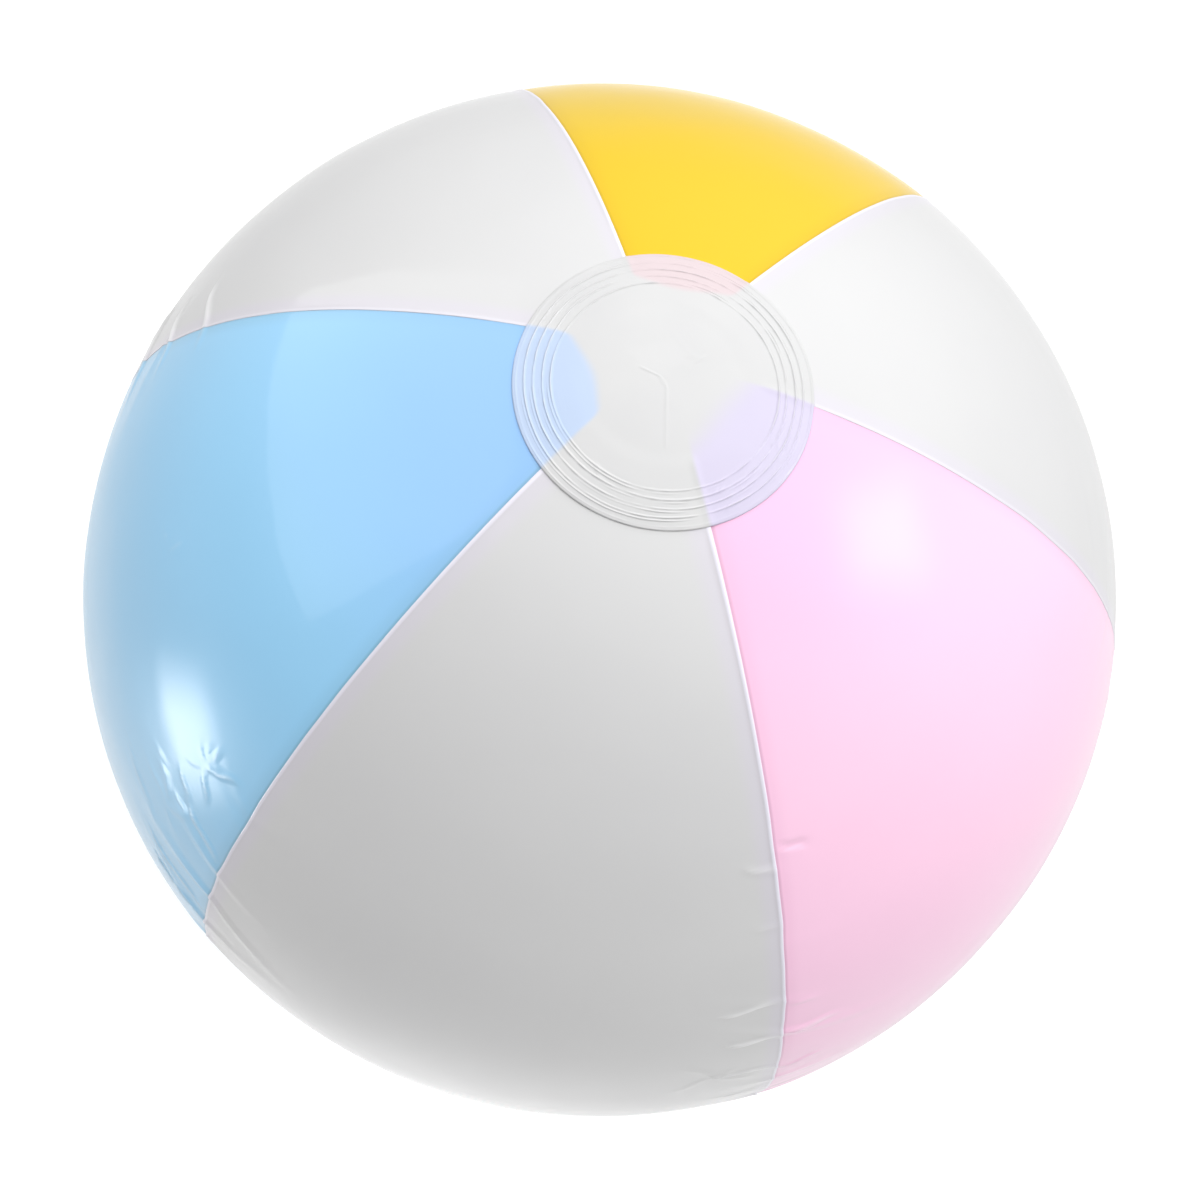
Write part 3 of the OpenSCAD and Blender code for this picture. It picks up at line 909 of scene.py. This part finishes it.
# Brightness of the studio's surroundings, by direction
SKY_RIGHT = 1.7
SKY_BACK = 4.1
SKY_BACK_CORE = 0.4
SKY_TOP = 0.85
SKY_LOBE = 0.32  # a broad lobe at the right and the back, low down
SKY_LOBE_AZ, SKY_LOBE_EL = 42, 18
GLOSS_DIMMING = 0.45  # the film's gloss sees the sky this much dimmer, as under large flags
SKY_LOW = 0.5  # near the horizon and below it, mostly for the gloss
SKY_LOW_DIFFUSE = 0.15  # the share of it that lights the surfaces
FLOOR_IN_GLOSS = 0.82  # how much brighter the gloss sees the surroundings far below the horizon
FLOOR_IN_GLOSS_LEFT = 0.6  # the share of it on the blue gore's side
FLOOR_IN_GLOSS_RIGHT = 0.5  # and opposite
FLOOR_SIDE = 0.5  # the x of a direction at which those shares hold
# The floor's own glow, and where it is stronger: distance and azimuth from the ball, and strength
FLOOR_GLOW = 0.12
FLOOR_LIGHTS = ((0.36, -90, 0.61), (0.36, 180, 0.24), (0.36, 0, 0.54))
FLOOR_LIGHT_SIZE = 0.21
BACKDROP = 1.05  # what the camera sees behind the ball: just over white


def direction(azimuth, elevation):
    """A unit vector towards a row-frame azimuth and elevation, in degrees."""
    a, e = math.radians(azimuth), math.radians(elevation)
    return Vector((math.cos(e) * math.cos(a), math.cos(e) * math.sin(a), math.sin(e)))


def soft_panel(name, azimuth, elevation, distance, shift, size, level, edge, roll=0):
    """A glowing panel that faces the ball, seen only in its gloss.

    It fades out over edge, a share of its half size for its width and one for its height.
    """
    width, height = size
    material = bpy.data.materials.new(name)
    material.use_nodes = True
    material.cycles.emission_sampling = "NONE"
    tree = material.node_tree
    tree.nodes.clear()
    output = tree.nodes.new("ShaderNodeOutputMaterial")
    glow = tree.nodes.new("ShaderNodeEmission")
    clear = tree.nodes.new("ShaderNodeBsdfTransparent")
    mix = tree.nodes.new("ShaderNodeMixShader")
    shape = tree.nodes.new("ShaderNodeMath")
    shape.operation = "MULTIPLY"
    for i, side in enumerate(("side_u", "side_v")):
        rise = ramp_attribute(tree, side, -1, edge[i] - 1)
        fall = ramp_attribute(tree, side, 1, 1 - edge[i])
        both = tree.nodes.new("ShaderNodeMath")
        both.operation = "MULTIPLY"
        tree.links.new(rise, both.inputs[0])
        tree.links.new(fall, both.inputs[1])
        tree.links.new(both.outputs["Value"], shape.inputs[i])
    glow.inputs["Strength"].default_value = level
    tree.links.new(shape.outputs["Value"], mix.inputs["Fac"])
    tree.links.new(clear.outputs["BSDF"], mix.inputs[1])
    tree.links.new(glow.outputs["Emission"], mix.inputs[2])
    tree.links.new(mix.outputs["Shader"], output.inputs["Surface"])
    sides = np.array([(-1, -1), (1, -1), (1, 1), (-1, 1)], dtype=float)
    points = np.column_stack([sides * (width / 2, height / 2), np.zeros(4)])
    fade = {"side_u": sides[:, 0], "side_v": sides[:, 1]}
    panel = make_piece(name, points, np.array([[0, 1, 2, 3]]), material, fade)
    back = direction(azimuth, elevation)
    facing = Matrix.Translation(back * distance) @ back.to_track_quat("Z", "Y").to_matrix().to_4x4()
    spin = Matrix.Rotation(math.radians(roll), 4, "Z")
    panel.matrix_world = facing @ Matrix.Translation((*shift, 0)) @ spin
    for seen in ("visible_camera", "visible_diffuse", "visible_shadow", "visible_transmission"):
        setattr(panel, seen, False)


def make_world():
    """A white studio, lit from overhead, from behind the yellow gore and from the right."""
    world = bpy.data.worlds.new("studio")
    world.use_nodes = True
    tree = world.node_tree
    tree.nodes.clear()

    def calc(operation, first, second):
        node = tree.nodes.new("ShaderNodeMath")
        node.operation = operation
        for value, socket in ((first, node.inputs[0]), (second, node.inputs[1])):
            if isinstance(value, bpy.types.NodeSocket):
                tree.links.new(value, socket)
            else:
                socket.default_value = value
        return node.outputs["Value"]

    place = tree.nodes.new("ShaderNodeTexCoord")
    parts = tree.nodes.new("ShaderNodeSeparateXYZ")
    tree.links.new(place.outputs["Generated"], parts.inputs["Vector"])
    right, back = (calc("MULTIPLY", calc("ADD", parts.outputs[axis], 1), 0.5) for axis in "XY")
    z = calc("MAXIMUM", parts.outputs["Z"], 0)
    sky = calc("MULTIPLY", calc("POWER", right, 2), SKY_RIGHT)
    for power, weight in ((2, SKY_BACK), (4, SKY_BACK_CORE)):
        sky = calc("ADD", sky, calc("MULTIPLY", calc("POWER", back, power), weight))
    sky = calc("ADD", calc("MULTIPLY", sky, z), calc("MULTIPLY", calc("POWER", z, 8), SKY_TOP))
    facing = tree.nodes.new("ShaderNodeVectorMath")
    facing.operation = "DOT_PRODUCT"
    tree.links.new(place.outputs["Generated"], facing.inputs[0])
    facing.inputs[1].default_value = direction(SKY_LOBE_AZ, SKY_LOBE_EL)
    lobe = calc("POWER", calc("MAXIMUM", facing.outputs["Value"], 0), 3)
    sky = calc("ADD", sky, calc("MULTIPLY", lobe, SKY_LOBE))
    path = tree.nodes.new("ShaderNodeLightPath")
    gloss = path.outputs["Is Glossy Ray"]
    sky = calc("MULTIPLY", sky, calc("SUBTRACT", 1, calc("MULTIPLY", gloss, GLOSS_DIMMING)))
    low = calc("MULTIPLY", calc("POWER", calc("SUBTRACT", 1, z), 6), SKY_LOW)
    low_seen = calc("ADD", SKY_LOW_DIFFUSE, calc("MULTIPLY", gloss, 1 - SKY_LOW_DIFFUSE))
    level = calc("ADD", sky, calc("MULTIPLY", low, low_seen))
    below = tree.nodes.new("ShaderNodeMapRange")
    below.interpolation_type = "SMOOTHSTEP"
    below.inputs["From Min"].default_value = -0.2
    below.inputs["From Max"].default_value = -0.85
    below.inputs["To Max"].default_value = FLOOR_IN_GLOSS
    tree.links.new(parts.outputs["Z"], below.inputs["Value"])
    floor_seen = calc("MULTIPLY", below.outputs["Result"], gloss)
    for far, share in ((-FLOOR_SIDE, FLOOR_IN_GLOSS_LEFT), (FLOOR_SIDE, FLOOR_IN_GLOSS_RIGHT)):
        aside = tree.nodes.new("ShaderNodeMapRange")
        aside.interpolation_type = "SMOOTHSTEP"
        aside.inputs["From Min"].default_value = far
        aside.inputs["From Max"].default_value = -0.1 * far
        aside.inputs["To Min"].default_value = share
        tree.links.new(parts.outputs["X"], aside.inputs["Value"])
        floor_seen = calc("MULTIPLY", floor_seen, aside.outputs["Result"])
    level = calc("ADD", level, floor_seen)
    output = tree.nodes.new("ShaderNodeOutputWorld")
    mix = tree.nodes.new("ShaderNodeMixShader")
    fill = tree.nodes.new("ShaderNodeBackground")
    fill.inputs["Color"].default_value = (1, 1, 1, 1)
    tree.links.new(level, fill.inputs["Strength"])
    seen = tree.nodes.new("ShaderNodeBackground")
    seen.inputs["Color"].default_value = (1, 1, 1, 1)
    seen.inputs["Strength"].default_value = BACKDROP
    tree.links.new(path.outputs["Is Camera Ray"], mix.inputs["Fac"])
    tree.links.new(fill.outputs["Background"], mix.inputs[1])
    tree.links.new(seen.outputs["Background"], mix.inputs[2])
    tree.links.new(mix.outputs["Shader"], output.inputs["Surface"])
    bpy.context.scene.world = world


def make_floor():
    """A wide pale floor that the ball rests on, lit from within so that it stays white."""
    material, tree, shader = new_material("floor_paper")
    shade = mix_colour(tree, film_noise(tree, 0.4, 3, 0.3, 0.7, 0, 1), (0.69, 0.69, 0.69), (0.71, 0.71, 0.71))
    tree.links.new(shade, shader.inputs["Base Color"])
    shader.inputs["Roughness"].default_value = 0.9
    shader.inputs["Specular IOR Level"].default_value = 0.1
    shader.inputs["Emission Color"].default_value = (1, 1, 1, 1)
    own_light = ramp_attribute(tree, "glow", 0.0, 2.0, 0.0, 2.0, "LINEAR")
    tree.links.new(own_light, shader.inputs["Emission Strength"])
    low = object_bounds()[0][2]
    angle = np.linspace(0, 2 * math.pi, 96, endpoint=False)
    radii = np.concatenate([np.linspace(0.02, 1.2, 60), [1.6, 3.0, 8.0]])
    r, a = np.meshgrid(radii, angle, indexing="ij")
    points = np.stack([r * np.cos(a), r * np.sin(a), np.full_like(r, low)], axis=-1).reshape(-1, 3)
    glow = np.full(len(points), FLOOR_GLOW)
    for away, azimuth, strength in FLOOR_LIGHTS:
        gap = np.linalg.norm(points - np.array(direction(azimuth, 0)) * away - (0, 0, low), axis=1)
        glow += strength * np.exp(-(gap / FLOOR_LIGHT_SIZE) ** 2)
    faces = grid_faces(len(radii), len(angle), wrap=True).tolist() + [list(range(len(angle)))[::-1]]
    floor = make_piece("floor", points, faces, material, {"glow": glow})
    floor.visible_glossy = False  # the film's gloss sees the even surroundings instead


# Camera: close to the ball, looking down on the top cap from a little in front of it
CAMERA_DISTANCE = 2.1  # in ball radii, from the ball's centre
CAMERA_AZ = math.radians(1.2)
CAMERA_EL = math.radians(72.4)
CAMERA_ROLL = math.radians(14.1)  # the picture's content is turned clockwise by this
BALL_SHARE = 0.861  # the ball's diameter as a share of the picture's width
SENSOR = 36


def make_camera():
    """The photograph's view: the lens is set so that the ball fills its share of the picture's width."""
    data = bpy.data.cameras.new("camera")
    data.sensor_width = SENSOR
    data.lens = SENSOR / 2 * BALL_SHARE * math.sqrt(CAMERA_DISTANCE ** 2 - 1)
    data.clip_start = 0.01
    camera = bpy.data.objects.new("camera", data)
    back = Vector((
        math.sin(CAMERA_AZ) * math.cos(CAMERA_EL),
        -math.cos(CAMERA_AZ) * math.cos(CAMERA_EL),
        math.sin(CAMERA_EL),
    ))
    right = Vector((0, 0, 1)).cross(back).normalized()
    up = back.cross(right)
    turned_right = math.cos(CAMERA_ROLL) * right + math.sin(CAMERA_ROLL) * up
    turned_up = back.cross(turned_right)
    turn = Matrix((turned_right, turned_up, back)).transposed().to_4x4()
    camera.matrix_world = Matrix.Translation(back * CAMERA_DISTANCE * BALL_R) @ turn
    bpy.context.scene.collection.objects.link(camera)
    bpy.context.scene.camera = camera


make_world()
make_floor()
make_camera()
soft_panel("window", 181, 29, 1.2, (-0.254, 0.367), (1.38, 1.12), 1.75, (0.02, 0.02), roll=19)
soft_panel("square", 15, 41.5, 1.0, (-0.02, 0.022), (0.46, 0.44), 5.2, (0.8, 0.8), roll=20)
soft_panel("strip", 208, 3, 0.45, (0.06, -0.005), (0.20, 0.14), 7.0, (0.85, 0.7), roll=-25)
bpy.context.scene.view_settings.view_transform = "Standard"
